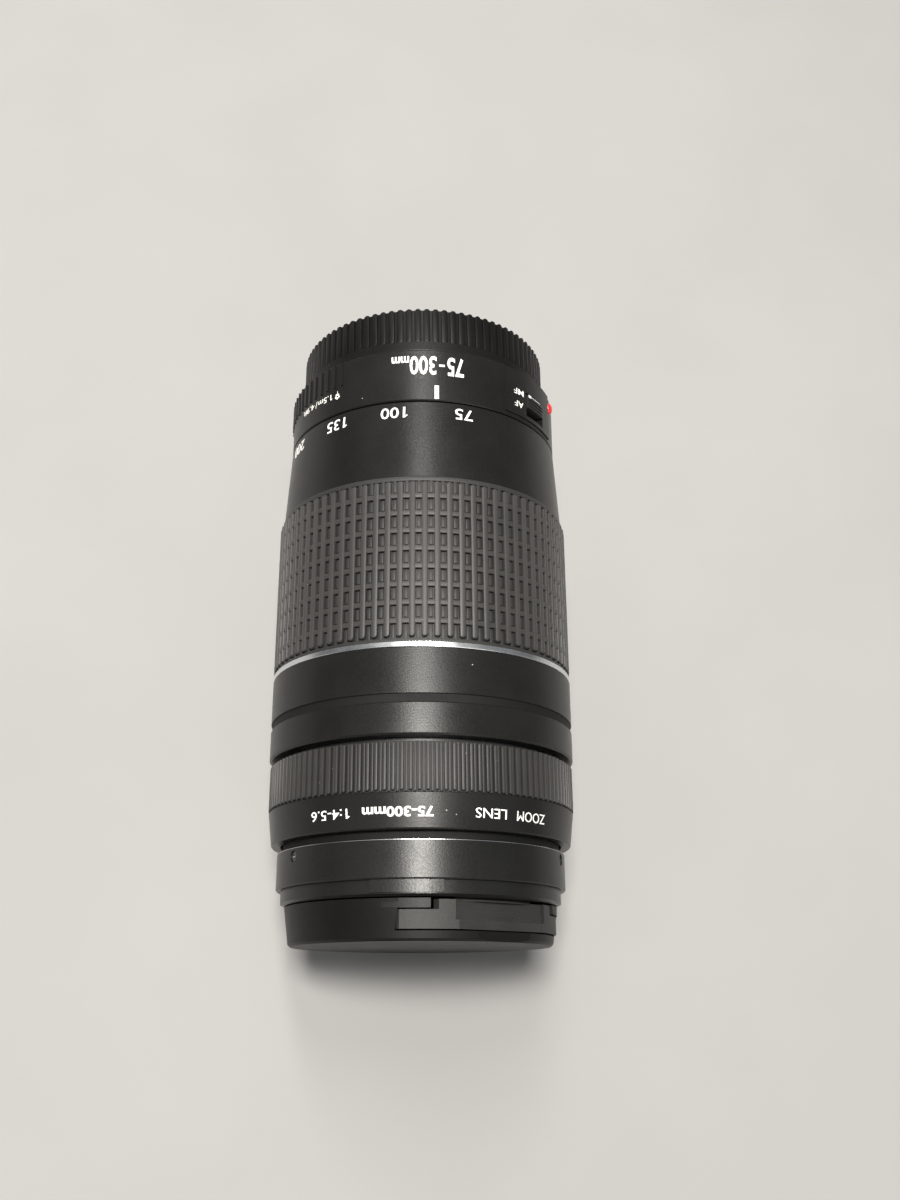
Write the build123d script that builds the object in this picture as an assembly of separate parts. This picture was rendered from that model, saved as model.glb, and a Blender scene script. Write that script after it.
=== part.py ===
from build123d import *
import math
import os

# Telephoto zoom lens for a single-lens reflex camera, with its front and rear caps on.
# Millimetres. The optical axis is Y: the front looks along -Y, the camera would be at +Y.
# The origin is the centre of the mount flange. +Z points at the zoom index line.
# Angles go about +Y from the index line (+Z) towards +X.

# ---- driving dimensions: places along the axis ----
FLANGE = 0.0
RIM = -126.0                            # front rim of the barrel, behind the front cap
CAP_FRONT = RIM - 8.6                   # outer face of the front cap
HOOD_RING_END = RIM + 3.3
SLEEVE_END = RIM + 11.3                 # rear edge of the front barrel's wide sleeve
NAME_BAND_FRONT = RIM + 13.0
FOCUS_RIBS_FRONT = RIM + 20.4
FOCUS_RING_END = RIM + 31.1
COLLAR_FRONT = RIM + 32.2
GROOVE_FRONT = RIM + 39.0
GROOVE_END = RIM + 41.1
TRIM_FRONT = RIM + 51.2
TRIM_END = RIM + 52.4
GRIP_END = RIM + 91.3
ZOOM_RING_END = RIM + 111.1
HOUSING_FRONT = RIM + 111.4
HOUSING_END = RIM + 124.8
REAR_CAP_FRONT = 0.3
REAR_CAP_RIBS = 2.6
REAR_CAP_END = 11.8

# ---- driving dimensions: radii ----
R_CAP_FACE = 29.7
R_CAP_SKIRT = 30.75
R_THREAD = 28.7                         # crests of the 58 mm filter thread
R_THREAD_ROOT = 29.1
R_HOOD_RING = 31.7
R_HOOD_PAD = 32.2
R_SLEEVE = 32.8
R_SKIRT = 31.6
R_SKIRT_BORE = 30.4
R_NAME_BAND = 34.3
R_NAME_BAND_REAR = 35.1
R_FOCUS_RIB = 35.2
R_FOCUS_FLOOR = 34.6
R_COLLAR = 35.5
R_GROOVE = 35.2
R_ZOOM_SEAT = 34.0                      # grip, trim ring and collar sit on this
R_GRIP_FLOOR = 34.9
R_GRIP_RIB = 35.5
R_BAND_FRONT = 34.7
R_HOUSING = 33.4
R_ZOOM_BORE = 32.0
R_CARRIER = 31.95
R_CARRIER_BORE = 30.05
R_GUIDE = 30.0
R_GUIDE_BORE = 28.0
R_CAM = 27.95
R_CAM_BORE = 26.0
R_CELL = 25.95
R_CELL_BORE = 23.6
R_REAR_CAP = 31.0
R_THROAT_LUG = 26.95
GAP = 0.3                               # free space between pieces that move past each other
EDGE = 0.25                             # the broken outer edges of the rings

# ---- driving dimensions: motion ----
ZOOM_TURN = 103.0                       # degrees, from the setting modelled to the 300 mark
CARRIER_TRAVEL = 50.0
VARIATOR_TRAVEL = 10.0
RELAY_TRAVEL = 16.0
REAR_TRAVEL = 22.0
FOCUS_TURN = 95.0
FOCUS_TRAVEL = 11.0
SWITCH_TRAVEL = 2.0

# ---- counts and shared sizes ----
GRIP_RIBS = 80
FOCUS_RIBS = 120
REAR_CAP_RIB_COUNT = 90
BLADES = 7
FOLLOWER_R = 1.8
SLOT_WIDTH = 2 * FOLLOWER_R + 2 * GAP
FOLLOWER_ANGLES = (60, 180, 300)
KEY_ANGLES = (0, 120, 240)
DRIVE_KEY_ANGLES = (20, 200)
LUG_ANGLES = (30, 150, 270)
MOUNT_SCREW_ANGLES = (45, 135, 225, 315)
BARREL_SCREW_ANGLES = (-62, 65, 181)
LATCH_ANGLES = (31.4, 211.4)
HOOD_PAD_ANGLES = (0, 120, 240)
HOOD_PADS = ((-24.3, -2.3), (-1.3, 3.0))    # each hood stop: a long pad and a short one, in degrees
CARRIER_PIN = RIM + 92.0
VARIATOR_PIN = RIM + 58.0
RELAY_PIN = RIM + 80.0
REAR_PIN = RIM + 96.0
LUG_PLACE = RIM + 26.0
DRIVE_KEY_FRONT, DRIVE_KEY_END = RIM + 101.0, RIM + 105.0
R_MOUNT_SCREW = 28.9


# ---- helpers ----
def turned(points):
    """Revolve a closed outline of (radius, y) points about the optical axis."""
    return revolve(make_face(Polyline(*points, close=True)), axis=Axis.Y)


def tube(r_in, r_out, y0, y1):
    return turned([(r_in, y0), (r_out, y0), (r_out, y1), (r_in, y1)])


def at_angle(shape, degrees):
    """Turn a shape made at the index line to another place round the axis."""
    return Rot(0, degrees, 0) * shape


def around(shape, angles):
    return [at_angle(shape, angle) for angle in angles]


def evenly(count):
    return [i * 360 / count for i in range(count)]


def block(width, y0, y1, r0, r1):
    """A box at the index line: width along X, y0 to y1 along the axis, r0 to r1 outwards."""
    return Pos(0, (y0 + y1) / 2, (r0 + r1) / 2) * Box(width, y1 - y0, r1 - r0)


def peg(radius, r0, r1, y):
    """A round peg at the index line that points outwards."""
    return Pos(0, y, (r0 + r1) / 2) * Cylinder(radius, r1 - r0)


def rod(radius, y0, y1, r, degrees=0):
    """A round rod along the axis, at radius r."""
    bar = Pos(0, (y0 + y1) / 2, r) * Rot(90, 0, 0) * Cylinder(radius, y1 - y0)
    return at_angle(bar, degrees)


def sector(r_in, r_out, y0, y1, start, end):
    """Part of a tube between two angles."""
    outline = make_face(Polyline((r_in, y0), (r_out, y0), (r_out, y1), (r_in, y1), close=True))
    return Rot(0, start - 90, 0) * revolve(outline, axis=Axis.Y, revolution_arc=end - start)


def group(pieces):
    """Separate solids kept together as one node."""
    return Compound(children=[solid for piece in pieces for solid in piece.solids()])


def cam_cutter(r0, r1, y_start, travel, turn, forward_angle_falls=True):
    """Cutters for a follower's curved slot, which starts at the index line at y_start.

    The slot runs forward by travel while it winds round by turn degrees.
    """
    r_mid = (r0 + r1) / 2
    path = Edge.make_helix(travel * 360 / turn, travel, r_mid, lefthand=not forward_angle_falls)
    section = Plane(origin=path @ 0, x_dir=(1, 0, 0), z_dir=path % 0) * Rectangle(r1 - r0, SLOT_WIDTH)
    swept = sweep(section, path=path, is_frenet=True)
    front_angle = -turn if forward_angle_falls else turn
    # the helix climbs Z from X: its low end goes to the front of the slot
    placed = Pos(0, y_start - travel, 0) * Rot(0, front_angle - 90, 0) * Rot(-90, 0, 0) * swept
    back_end = peg(SLOT_WIDTH / 2, r0, r1, y_start)
    front_end = at_angle(peg(SLOT_WIDTH / 2, r0, r1, y_start - travel), front_angle)
    return [placed, back_end, front_end]


def cut_cams(body, angles, *settings, **options):
    for angle in angles:
        for cutter in cam_cutter(*settings, **options):
            body -= at_angle(cutter, angle)
    return body


def ribbed_sleeve(r_in, r_floor, r_top, y0, y1, count, share, margin):
    """A sleeve with straight ribs round its outside, which stop short of both ends."""
    points = []
    half = share * math.pi / count
    for i in range(count):
        middle = i * 2 * math.pi / count
        for radius, offset in ((r_floor, -half), (r_top, -0.7 * half), (r_top, 0.7 * half), (r_floor, half)):
            angle = middle + offset
            points.append((radius * math.sin(angle), radius * math.cos(angle)))
    ribs = extrude(make_face(Polyline(*points, close=True)), amount=y1 - y0 - 2 * margin)
    ribs = Pos(0, y1 - margin, 0) * Rot(90, 0, 0) * ribs
    sleeve = ribs + tube(r_in, r_floor, y0, y1)
    return sleeve - Pos(0, (y0 + y1) / 2, 0) * Rot(90, 0, 0) * Cylinder(r_in, y1 - y0 + 2)


def sag(r, rim_r, depth):
    """How deep a spherical face lies at radius r, when it lies depth deep at rim_r."""
    if depth == 0:
        return 0.0
    ball = (rim_r**2 + depth**2) / (2 * abs(depth))
    return math.copysign(ball - math.sqrt(ball**2 - r**2), depth)


def element(rim_r, front, thickness, front_depth, rear_depth):
    """A glass element. Depths say how far each face's rim lies behind its middle."""
    back = front + thickness

    def face_curve(y, depth):
        if depth == 0:
            return Line((0, y), (rim_r, y))
        return ThreePointArc((0, y), (rim_r / 2, y + sag(rim_r / 2, rim_r, depth)), (rim_r, y + depth))

    edge = Line((rim_r, front + front_depth), (rim_r, back + rear_depth))
    outline = [face_curve(front, front_depth), edge, face_curve(back, rear_depth), Line((0, front), (0, back))]
    return revolve(make_face(Wire(outline)), axis=Axis.Y)


def gear(teeth, module, y0, y1, inside=False):
    """A spur gear about Y, or the toothed hole of an internal gear. One tooth is on +Z."""
    pitch_r = teeth * module / 2
    low = pitch_r - (0.8 if inside else 1.1) * module
    high = pitch_r + (1.1 if inside else 0.8) * module
    foot, tip = (0.78, 0.40) if inside else (0.60, 0.22)
    step = 2 * math.pi / teeth
    points = []
    for i in range(teeth):
        for radius, share in ((low, -foot), (high, -tip), (high, tip), (low, foot)):
            angle = (i + share / 2) * step
            points.append((radius * math.sin(angle), radius * math.cos(angle)))
    solid = extrude(make_face(Polyline(*points, close=True)), amount=y1 - y0)
    return Pos(0, y1, 0) * Rot(90, 0, 0) * solid


# ---- fixed body: housing, guide barrel, mount and electronics ----
HOUSING_WALL = HOUSING_END - 3.0
SWITCH_START, SWITCH_END = 42.9, 55.1   # degrees
PANEL_START, PANEL_END = 30.2, 63.5     # the raised panel round the switch, in degrees
R_PANEL = 33.7
R_RIDGE = 33.75
RIDGE_ANGLES = [-40.6 - 4.1 * i for i in range(14)]
RIDGE_FRONT, RIDGE_END = RIM + 118.5, HOUSING_END - 0.3
INDEX_FRONT, INDEX_END, INDEX_WIDTH = RIM + 111.8, RIM + 115.3, 1.0
R_INLAY = 33.1                          # floor of the pockets for the index line and the dot
KNOB_FRONT, KNOB_END = RIM + 115.7, RIM + 119.4
DOT_PLACE, DOT_ANGLE, DOT_R = RIM + 122.3, 67.6, 1.45


def rear_housing():
    neck = RIM + 107.0
    body = turned([
        (30.3, neck), (R_CARRIER, neck), (R_CARRIER, HOUSING_FRONT), (R_HOUSING - EDGE, HOUSING_FRONT),
        (R_HOUSING, HOUSING_FRONT + EDGE), (R_HOUSING, HOUSING_END - 0.3), (R_HOUSING - 0.3, HOUSING_END),
        (32.2, HOUSING_END), (32.2, -0.3), (31.5, -0.3), (31.5, HOUSING_END), (27.0, HOUSING_END),
        (27.0, HOUSING_WALL), (30.3, HOUSING_WALL),
    ])
    body += sector(33.2, R_PANEL, RIM + 112.4, HOUSING_END - 0.3, PANEL_START, PANEL_END)
    for angle in RIDGE_ANGLES:
        body += at_angle(block(0.5, RIDGE_FRONT, RIDGE_END, 33.2, R_RIDGE), angle)
    body -= block(INDEX_WIDTH, INDEX_FRONT, INDEX_END, R_INLAY, 34.0)
    body -= sector(30.0, 34.5, KNOB_FRONT - SWITCH_TRAVEL - GAP, KNOB_END + GAP,
                   SWITCH_START - 0.5, SWITCH_END + 0.5)
    body -= sector(30.0, 31.6, KNOB_FRONT - SWITCH_TRAVEL - 1.6, KNOB_END + 1.6,
                   SWITCH_START - 3, SWITCH_END + 3)
    body -= at_angle(peg(DOT_R, R_INLAY, 34.0, DOT_PLACE), DOT_ANGLE)
    for angle in MOUNT_SCREW_ANGLES:
        body -= rod(0.85, HOUSING_WALL - 1, HOUSING_END + 1, R_MOUNT_SCREW, angle)
    return body


def index_dot():
    return at_angle(peg(DOT_R, R_INLAY, 33.6, DOT_PLACE), DOT_ANGLE)


def index_line():
    return block(INDEX_WIDTH, INDEX_FRONT, INDEX_END, R_INLAY, R_HOUSING + 0.03)


def guide_barrel():
    front, end = RIM + 42.0, HOUSING_WALL
    body = tube(R_GUIDE_BORE, R_GUIDE, front, end)
    body += tube(27.0, 30.2, end - 1.6, end)
    for angle in FOLLOWER_ANGLES:
        body -= at_angle(block(SLOT_WIDTH, RIM + 45.5, RIM + 98.5, 27.0, 31.0), angle)
    for angle in KEY_ANGLES:
        body -= at_angle(block(4.6, front - 1, RIM + 99.0, 29.0, 31.0), angle)
    for angle in DRIVE_KEY_ANGLES:
        body -= sector(27.0, 31.0, DRIVE_KEY_FRONT - GAP, DRIVE_KEY_END + GAP,
                       angle - 7.5, angle + ZOOM_TURN + 7.5)
    return body


def bayonet_mount():
    body = tube(23.6, 31.4, HOUSING_END, FLANGE) + tube(23.6, 25.2, FLANGE, 4.2)
    for angle in (0, 120, 240):
        body += sector(25.0, R_THROAT_LUG, 2.4, 3.8, angle - 29, angle + 29)
    for angle in MOUNT_SCREW_ANGLES:
        body -= rod(0.85, HOUSING_END - 1, 1.0, R_MOUNT_SCREW, angle)
        body -= rod(1.5, -0.75, 1.0, R_MOUNT_SCREW, angle)
    return body


def mount_screws():
    screw = rod(1.5, -0.75, -0.15, R_MOUNT_SCREW) + rod(0.85, -4.2, -0.7, R_MOUNT_SCREW)
    for width, height in ((0.35, 1.7), (1.7, 0.35)):
        screw -= block(width, -0.45, 0.0, R_MOUNT_SCREW - height / 2, R_MOUNT_SCREW + height / 2)
    return group(around(screw, MOUNT_SCREW_ANGLES))


def rear_baffle():
    body = turned([(21.4, -3.0), (23.6, -3.0), (23.6, 4.4), (23.0, 5.2), (17.0, 5.2), (17.0, 4.2), (21.4, 4.2)])
    return body - at_angle(block(19.0, 2.7, 6.0, 15.9, 24.0), 180)


def contact_block():
    return at_angle(block(18.4, 3.0, 6.4, 16.2, 21.3), 180) + at_angle(block(12.0, -1.0, 3.0, 18.5, 20.4), 180)


def contact_pins():
    return group([Pos((i - 3.5) * 2.1, 0, 0) * rod(0.6, 6.4, 6.9, 19.2, 180) for i in range(8)])


def main_board():
    return sector(18.0, 27.6, -7.6, -6.4, 30, 330)


def board_chips():
    places = ((100, 5.0, 4.0), (150, 4.0, 3.0), (180, 7.0, 6.0), (215, 4.0, 4.0), (260, 6.0, 3.0))
    return group([at_angle(block(w, -6.4, -5.3, 22.5 - h / 2, 22.5 + h / 2), a) for a, w, h in places])


def switch_knob():
    knob = sector(31.0, 34.1, KNOB_FRONT, KNOB_END, SWITCH_START, SWITCH_END)
    base = sector(30.35, 31.3, KNOB_FRONT - 1.2, KNOB_END + 1.2, SWITCH_START - 2, SWITCH_END + 2)
    return knob + base


# ---- zoom ring body ----
def zoom_ring():
    front = COLLAR_FRONT + 0.8
    body = turned([
        (R_ZOOM_BORE, front), (R_ZOOM_SEAT, front), (R_ZOOM_SEAT, GRIP_END),
        (R_BAND_FRONT - EDGE / 2, GRIP_END), (R_BAND_FRONT, GRIP_END + EDGE / 2),
        (R_HOUSING, ZOOM_RING_END - EDGE), (R_HOUSING - EDGE, ZOOM_RING_END), (R_ZOOM_BORE, ZOOM_RING_END),
    ])
    body = cut_cams(body, FOLLOWER_ANGLES, 31.0, 33.1, CARRIER_PIN, CARRIER_TRAVEL, ZOOM_TURN)
    for angle in DRIVE_KEY_ANGLES:
        body -= at_angle(block(6.0, DRIVE_KEY_FRONT, DRIVE_KEY_END, 30.0, 33.2), angle)
    return body


def front_collar():
    return turned([
        (R_ZOOM_BORE, COLLAR_FRONT), (R_COLLAR - 0.4, COLLAR_FRONT), (R_COLLAR, COLLAR_FRONT + 0.4),
        (R_COLLAR, GROOVE_FRONT), (R_GROOVE, GROOVE_FRONT + EDGE), (R_GROOVE, GROOVE_END - EDGE / 2),
        (R_COLLAR, GROOVE_END), (R_COLLAR, TRIM_FRONT - 0.2), (R_COLLAR - 0.2, TRIM_FRONT), (R_ZOOM_SEAT, TRIM_FRONT),
        (R_ZOOM_SEAT, COLLAR_FRONT + 0.8), (R_ZOOM_BORE, COLLAR_FRONT + 0.8),
    ])


def trim_ring():
    return turned([
        (R_ZOOM_SEAT, TRIM_FRONT), (R_COLLAR - 0.1, TRIM_FRONT), (R_COLLAR, TRIM_FRONT + 0.1),
        (R_COLLAR, TRIM_END - 0.1), (R_COLLAR - 0.1, TRIM_END), (R_ZOOM_SEAT, TRIM_END),
    ])


def zoom_grip():
    return ribbed_sleeve(R_ZOOM_SEAT, R_GRIP_FLOOR, R_GRIP_RIB, TRIM_END, GRIP_END, GRIP_RIBS, 0.58, 1.1)


def cam_barrel():
    body = tube(R_CAM_BORE, R_CAM, RIM + 44.0, RIM + 108.0)
    for place, travel in ((VARIATOR_PIN, VARIATOR_TRAVEL), (RELAY_PIN, RELAY_TRAVEL), (REAR_PIN, REAR_TRAVEL)):
        body = cut_cams(body, FOLLOWER_ANGLES, 25.0, 29.0, place, travel, ZOOM_TURN)
    for angle in DRIVE_KEY_ANGLES:
        body -= at_angle(block(6.0, DRIVE_KEY_FRONT, DRIVE_KEY_END, 25.0, 29.0), angle)
    return body


def drive_keys():
    return group(around(block(6.0, DRIVE_KEY_FRONT, DRIVE_KEY_END, 26.4, 33.2), DRIVE_KEY_ANGLES))


# ---- front carrier body, with the focus motor ----
AF_ANGLE = 180.0
GEAR_FRONT, GEAR_END = RIM + 28.7, RIM + 30.5
MODULE = 0.5
RING_TEETH, IDLER_TEETH, PINION_TEETH = 125, 12, 10
R_IDLER_AXLE = (RING_TEETH - IDLER_TEETH) * MODULE / 2
R_PINION_AXLE = 24.0
AXLE_DISTANCE = (IDLER_TEETH + PINION_TEETH) * MODULE / 2
PINION_SHIFT = math.degrees(math.acos(
    (R_IDLER_AXLE**2 + R_PINION_AXLE**2 - AXLE_DISTANCE**2) / (2 * R_IDLER_AXLE * R_PINION_AXLE)))
PINION_ANGLE = AF_ANGLE + PINION_SHIFT


def on_axle(shape, r, degrees, own_turn):
    """Put a shape that is centred on the optical axis on its own axle, turned about itself."""
    angle = math.radians(degrees)
    return Pos(r * math.sin(angle), 0, r * math.cos(angle)) * Rot(0, own_turn, 0) * shape


def carrier_tube():
    body = tube(R_CARRIER_BORE, R_CARRIER, RIM + 33.2, RIM + 98.0)
    for angle in KEY_ANGLES:
        body += at_angle(block(4.0, RIM + 91.0, RIM + 98.0, 29.2, 30.5), angle)
    for angle in FOLLOWER_ANGLES:
        body -= at_angle(peg(FOLLOWER_R, 29.5, 33.0, CARRIER_PIN), angle)
    return body


def carrier_followers():
    return group(around(peg(FOLLOWER_R, 30.3, 32.8, CARRIER_PIN), FOLLOWER_ANGLES))


def carrier_nose():
    plate = tube(20.4, R_CARRIER, RIM + 31.3, RIM + 33.2)
    nose = tube(28.95, 30.1, RIM + 11.6, RIM + 31.3)
    nose = cut_cams(nose, LUG_ANGLES, 28.0, 31.0, LUG_PLACE, FOCUS_TRAVEL, FOCUS_TURN, forward_angle_falls=False)
    nose -= at_angle(block(8.4, RIM + 28.3, RIM + 31.3, 27.0, 31.0), AF_ANGLE)
    body = plate + nose
    body -= rod(1.2, RIM + 31.0, RIM + 34.0, R_PINION_AXLE, PINION_ANGLE)
    return body - rod(0.6, RIM + 31.0, RIM + 34.0, R_IDLER_AXLE, AF_ANGLE)


def idler_axle():
    return rod(0.6, GEAR_FRONT - 0.4, RIM + 33.2, R_IDLER_AXLE, AF_ANGLE)


def focus_motor():
    body = rod(4.0, RIM + 33.2, RIM + 41.8, R_PINION_AXLE, PINION_ANGLE)
    return body - rod(1.2, RIM + 33.0, RIM + 36.0, R_PINION_AXLE, PINION_ANGLE)


def idler_gear():
    wheel = gear(IDLER_TEETH, MODULE, GEAR_FRONT, GEAR_END)
    placed = on_axle(wheel, R_IDLER_AXLE, AF_ANGLE, AF_ANGLE)
    return placed - rod(0.65, GEAR_FRONT - 1, GEAR_END + 1, R_IDLER_AXLE, AF_ANGLE)


def motor_pinion():
    # the pinion's teeth meet the idler's: their two phases, in tooth steps, add up to a half
    a, b = math.radians(AF_ANGLE), math.radians(PINION_ANGLE)
    dx = R_PINION_AXLE * math.sin(b) - R_IDLER_AXLE * math.sin(a)
    dz = R_PINION_AXLE * math.cos(b) - R_IDLER_AXLE * math.cos(a)
    towards_pinion = math.degrees(math.atan2(dx, dz))
    idler_phase = (towards_pinion - AF_ANGLE) * IDLER_TEETH / 360
    own_turn = towards_pinion + 180 - (0.5 - idler_phase) * 360 / PINION_TEETH
    wheel = on_axle(gear(PINION_TEETH, MODULE, GEAR_FRONT, GEAR_END), R_PINION_AXLE, PINION_ANGLE, own_turn)
    return wheel + rod(0.8, GEAR_FRONT, RIM + 35.6, R_PINION_AXLE, PINION_ANGLE)


# ---- focus ring body ----
def focus_ring():
    seat = RIM + 28.4
    body = turned([
        (R_CARRIER, NAME_BAND_FRONT), (R_NAME_BAND - EDGE, NAME_BAND_FRONT),
        (R_NAME_BAND, NAME_BAND_FRONT + EDGE), (R_NAME_BAND_REAR, FOCUS_RIBS_FRONT - 0.15),
        (R_NAME_BAND_REAR - 0.15, FOCUS_RIBS_FRONT),
        (R_ZOOM_SEAT, FOCUS_RIBS_FRONT), (R_ZOOM_SEAT, FOCUS_RING_END), (33.0, FOCUS_RING_END),
        (33.0, seat), (R_CARRIER, seat),
    ])
    for angle in KEY_ANGLES:
        body += at_angle(block(5.0, RIM + 14.5, RIM + 17.0, 30.7, 32.4), angle)
    return body


def focus_grip():
    return ribbed_sleeve(R_ZOOM_SEAT, R_FOCUS_FLOOR, R_FOCUS_RIB, FOCUS_RIBS_FRONT, FOCUS_RING_END,
                         FOCUS_RIBS, 0.62, 0.3)


def focus_gear_ring():
    hole = gear(RING_TEETH, MODULE, GEAR_FRONT - 1, GEAR_END + 1, inside=True)
    return tube(29.0, 33.0, GEAR_FRONT, GEAR_END) - at_angle(hole, AF_ANGLE)


# ---- front barrel body, with the first lens group ----
def front_barrel():
    body = turned([
        (R_THREAD, RIM), (R_CAP_SKIRT, RIM), (R_HOOD_RING, RIM + 0.5), (R_HOOD_RING, HOOD_RING_END),
        (R_SLEEVE - EDGE, HOOD_RING_END), (R_SLEEVE, HOOD_RING_END + EDGE), (R_SLEEVE, SLEEVE_END - EDGE),
        (R_SLEEVE - EDGE, SLEEVE_END), (R_SKIRT, SLEEVE_END), (R_SKIRT, RIM + 28.0),
        (R_SKIRT_BORE, RIM + 28.0), (R_SKIRT_BORE, RIM + 5.0), (R_THREAD, RIM + 5.0),
    ])
    for angle in HOOD_PAD_ANGLES:
        for start, end in HOOD_PADS:
            body += sector(31.5, R_HOOD_PAD, RIM + 0.7, HOOD_RING_END + 0.1, angle + start, angle + end)
    for i in range(5):
        y = RIM + 0.8 + i * 0.75
        body -= turned([(R_THREAD - 0.1, y), (R_THREAD_ROOT, y + 0.3), (R_THREAD - 0.1, y + 0.6)])
    for angle in KEY_ANGLES:
        body -= at_angle(block(5.6, RIM + 14.0, RIM + 29.0, 30.0, 32.0), angle)
    for angle in BARREL_SCREW_ANGLES:
        body -= at_angle(peg(1.25, 31.9, 34.0, RIM + 9.4), angle)
        body -= at_angle(peg(0.7, 29.0, 34.0, RIM + 9.4), angle)
    return body


def barrel_screws():
    screw = peg(1.2, 31.9, 32.45, RIM + 9.4) + peg(0.7, 29.3, 32.0, RIM + 9.4)
    for width, length in ((0.3, 1.3), (1.3, 0.3)):
        screw -= block(width, RIM + 9.4 - length / 2, RIM + 9.4 + length / 2, 32.2, 33.0)
    return group(around(screw, BARREL_SCREW_ANGLES))


def front_cell():
    body = turned([
        (27.6, RIM + 5.0), (R_SKIRT_BORE, RIM + 5.0), (R_SKIRT_BORE, RIM + 11.0), (28.4, RIM + 11.0),
        (28.4, RIM + 28.0), (26.2, RIM + 28.0), (26.2, RIM + 16.9), (25.0, RIM + 16.9),
        (25.0, RIM + 12.9), (27.6, RIM + 12.9),
    ])
    for angle in BARREL_SCREW_ANGLES:
        body -= at_angle(peg(0.7, 29.0, 34.0, RIM + 9.4), angle)
    for angle in LUG_ANGLES:
        body -= at_angle(peg(FOLLOWER_R, 27.0, 30.0, LUG_PLACE), angle)
    return body


def helicoid_lugs():
    return group(around(peg(FOLLOWER_R, 27.0, 29.8, LUG_PLACE), LUG_ANGLES))


def front_doublet():
    crown = element(27.5, RIM + 5.6, 2.2, 2.4, 3.8)
    flint = element(27.5, RIM + 7.8, 6.0, 3.8, -1.2)
    return group([crown, flint])


def front_singlet():
    return element(26.15, RIM + 15.6, 4.5, 1.6, 0.6)


def front_retainers():
    return group([tube(26.0, 27.6, RIM + 6.2, RIM + 7.6), tube(25.0, 26.2, RIM + 20.9, RIM + 22.2)])


# ---- moving lens groups ----
def lens_cell(y0, y1, hub_bore, pin_y, web=1.4):
    """A sleeve that slides in the cam barrel, a web, a hub for the glass, and three followers."""
    hub = hub_bore + 1.6
    middle = (y0 + y1) / 2
    body = turned([
        (hub_bore, y0), (hub, y0), (hub, middle - web / 2), (R_CELL_BORE, middle - web / 2),
        (R_CELL_BORE, y0), (R_CELL, y0), (R_CELL, y1), (R_CELL_BORE, y1),
        (R_CELL_BORE, middle + web / 2), (hub, middle + web / 2), (hub, y1), (hub_bore, y1),
    ])
    return body + around(peg(FOLLOWER_R, 24.6, 29.6, pin_y), FOLLOWER_ANGLES)


def variator_cell():
    return lens_cell(RIM + 50.0, RIM + 62.0, 13.5, VARIATOR_PIN)


def variator_doublet():
    return group([element(13.5, RIM + 51.6, 1.4, -1.0, 2.0), element(13.5, RIM + 53.0, 3.4, 2.0, 0.4)])


def variator_singlet():
    return element(13.5, RIM + 58.2, 1.4, -1.4, 0.6)


IRIS_PLATE_FRONT, IRIS_PLATE_END = RIM + 74.6, RIM + 75.6
IRIS_RING_FRONT, IRIS_RING_END = RIM + 71.0, RIM + 71.9
BLADE_THICKNESS, BLADE_STEP = 0.15, 0.3
R_BLADE_PIVOT, R_BLADE_PIN = 20.0, 17.6
R_RELAY_HUB = 11.5


def relay_cell():
    body = turned([
        (R_RELAY_HUB, IRIS_PLATE_FRONT), (R_CELL_BORE, IRIS_PLATE_FRONT), (R_CELL_BORE, RIM + 70.0),
        (R_CELL, RIM + 70.0), (R_CELL, RIM + 84.0), (R_CELL_BORE, RIM + 84.0), (R_CELL_BORE, IRIS_PLATE_END),
        (13.0, IRIS_PLATE_END), (13.0, RIM + 84.0), (R_RELAY_HUB, RIM + 84.0),
    ])
    for angle in evenly(BLADES):
        body -= rod(0.6, IRIS_PLATE_FRONT - 1, IRIS_PLATE_END + 1, R_BLADE_PIVOT, angle)
    return body + around(peg(FOLLOWER_R, 24.6, 29.6, RELAY_PIN), FOLLOWER_ANGLES)


def iris_ring():
    body = tube(16.0, 23.5, IRIS_RING_FRONT, IRIS_RING_END)
    for angle in evenly(BLADES):
        body -= at_angle(block(1.5, IRIS_RING_FRONT - 1, IRIS_RING_END + 1, 16.8, 18.8), angle)
    return body


def iris_blade(index):
    """One curved blade at the index line, turned to its own place. Each lies on its own level."""
    back = IRIS_PLATE_FRONT - 0.1 - index * BLADE_STEP
    front = back - BLADE_THICKNESS
    body = sector(10.9, 16.2, front, back, -6, 75)
    body += block(3.2, front, back, 15.0, R_BLADE_PIVOT)
    body += rod(1.6, front, back, R_BLADE_PIVOT)
    body += rod(0.5, back - 0.1, IRIS_PLATE_END, R_BLADE_PIVOT)
    body += rod(0.5, IRIS_RING_FRONT, front + 0.1, R_BLADE_PIN)
    return at_angle(body, evenly(BLADES)[index])


def iris_motor():
    return rod(4.3, IRIS_PLATE_END, RIM + 83.6, 18.3, 180)


def relay_singlets():
    return group([element(R_RELAY_HUB, RIM + 76.4, 2.2, 0.9, -0.3), element(R_RELAY_HUB, RIM + 79.0, 1.2, -0.5, 0.5)])


def relay_doublet():
    return group([element(R_RELAY_HUB, RIM + 81.2, 1.0, 0.4, 0.9), element(R_RELAY_HUB, RIM + 82.2, 2.2, 0.9, -0.8)])


def rear_cell():
    return lens_cell(RIM + 94.0, RIM + 106.0, 12.5, REAR_PIN)


def rear_doublet():
    return group([element(12.5, RIM + 96.0, 2.8, 0.9, -1.2), element(12.5, RIM + 98.8, 1.2, -1.2, 0.6)])


def rear_singlet():
    return element(12.5, RIM + 102.0, 1.8, -0.6, 0.3)


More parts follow.
